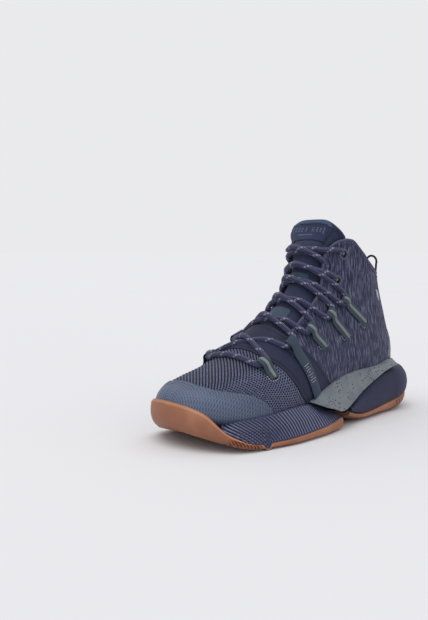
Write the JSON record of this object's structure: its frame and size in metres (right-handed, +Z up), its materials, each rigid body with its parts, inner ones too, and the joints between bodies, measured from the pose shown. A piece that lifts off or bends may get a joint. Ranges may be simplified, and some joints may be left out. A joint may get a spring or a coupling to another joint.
{
  "type": "basketball high top",
  "caption": "Laced high top basketball shoe for the left foot, standing on its sole, with a padded tongue and collar, a two-part cushioned sole and a heel pull loop.",
  "frame": {"origin": "centre of the shoe's bounding box in plan, on the ground under the sole", "axes": "+X from heel to toe, +Y to the outer side of the foot, +Z up"},
  "size_m": [0.292, 0.1102, 0.1795],
  "materials": {
    "rubber_gum": "matte, slightly translucent gum",
    "foam_navy": "matte moulded foam",
    "plastic_grey": "satin, speckled",
    "plastic_black": "satin",
    "board": "matte fibre board",
    "insole": "matte cloth over foam",
    "cap_blue": "satin, fine embossed grid",
    "mesh_navy": "matte perforated mesh",
    "overlay_navy": "smooth matte film",
    "knit_navy": "matte flecked knit",
    "lining": "matte cloth",
    "foam_pad": "open foam",
    "fibre": "matte stiff sheet",
    "webbing": "woven, with a light piping",
    "lace_navy": "braided, with light flecks",
    "cord_black": "braided",
    "tongue_navy": "smooth matte"
  },
  "bodies": {
    "shoe": {"outsole_forefoot": "rubber_gum", "outsole_heel": "rubber_gum", "midsole_forefoot": "foam_navy", "midsole_heel": "foam_navy", "midfoot_shank": "plastic_grey", "arch_plate": "plastic_black", "lasting_board": "board", "insole": "insole", "toe_cap": "cap_blue", "toe_puff": "fibre", "vamp_mesh": "mesh_navy", "vamp_lining": "lining", "saddle": "overlay_navy", "quarter_lateral": "knit_navy", "quarter_medial": "knit_navy", "eyestay_backer_lateral": "plastic_black", "eyestay_backer_medial": "plastic_black", "heel_counter": "fibre", "heel_strip": "plastic_grey", "collar_foam": "foam_pad", "collar_lining": "lining", "collar_binding": "lining", "tongue_body": "tongue_navy", "tongue_keeper_low": "webbing", "tongue_keeper_mid": "webbing", "tongue_keeper_top": "webbing", "eyelet_rings": "plastic_black", "toe_loop_lateral": "webbing", "toe_loop_medial": "webbing", "strap_lateral": "webbing", "strap_medial": "webbing", "side_loop_lateral_1": "webbing", "side_loop_lateral_2": "webbing", "side_loop_lateral_3": "webbing", "side_loop_medial_1": "webbing", "side_loop_medial_2": "webbing", "side_loop_medial_3": "webbing", "lace": "lace_navy", "aglets": "plastic_black", "pull_tab": "cord_black"},
    "tongue_end": {"tongue_tip": "tongue_navy", "tongue_label": "webbing"},
    "pull": {"pull_loop": "cord_black"}
  },
  "joints": [
    {"name": "tongue_tip_flex", "type": "hinge", "parent": "shoe", "child": "tongue_end", "pos_m": [-0.0238, -0.00595, 0.16717], "axis": [0, 1, 0], "range_deg": [0, 25], "stiffness_Nm_per_rad": 0.02},
    {"name": "pull_loop_fold", "type": "hinge", "parent": "shoe", "child": "pull", "pos_m": [-0.11822, -0.00603, 0.12439], "axis": [0, 1, 0], "range_deg": [-100, 0], "stiffness_Nm_per_rad": 0.01}
  ]
}
